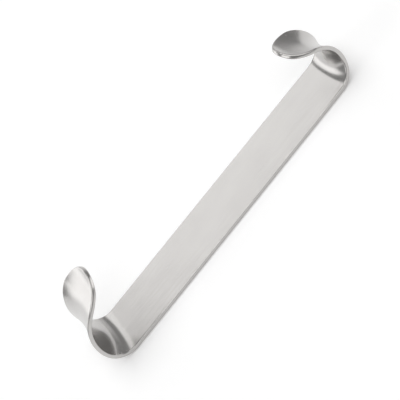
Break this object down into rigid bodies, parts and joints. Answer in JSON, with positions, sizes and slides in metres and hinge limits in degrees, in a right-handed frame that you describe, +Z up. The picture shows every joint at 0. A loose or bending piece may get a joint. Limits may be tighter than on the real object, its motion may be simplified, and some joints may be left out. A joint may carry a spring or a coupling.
{
  "type": "handheld surgical retractor",
  "caption": "Hand-held surgical retractor: flat steel strip handle whose ends curl up and back into saddle-backed hooks with rounded, flared tongues, one hook larger than the other.",
  "frame": {"origin": "centre of the bounding box on the plane that the flat handle rests on", "axes": "+X along the handle towards the small hook, +Y across the strip, +Z up to the side that both hooks curl to"},
  "size_m": [0.19, 0.0384, 0.0434],
  "materials": {
    "steel": "satin stainless steel with polished, softly broken edges"
  },
  "bodies": {
    "root": {"retractor": "steel"}
  },
  "joints": []
}
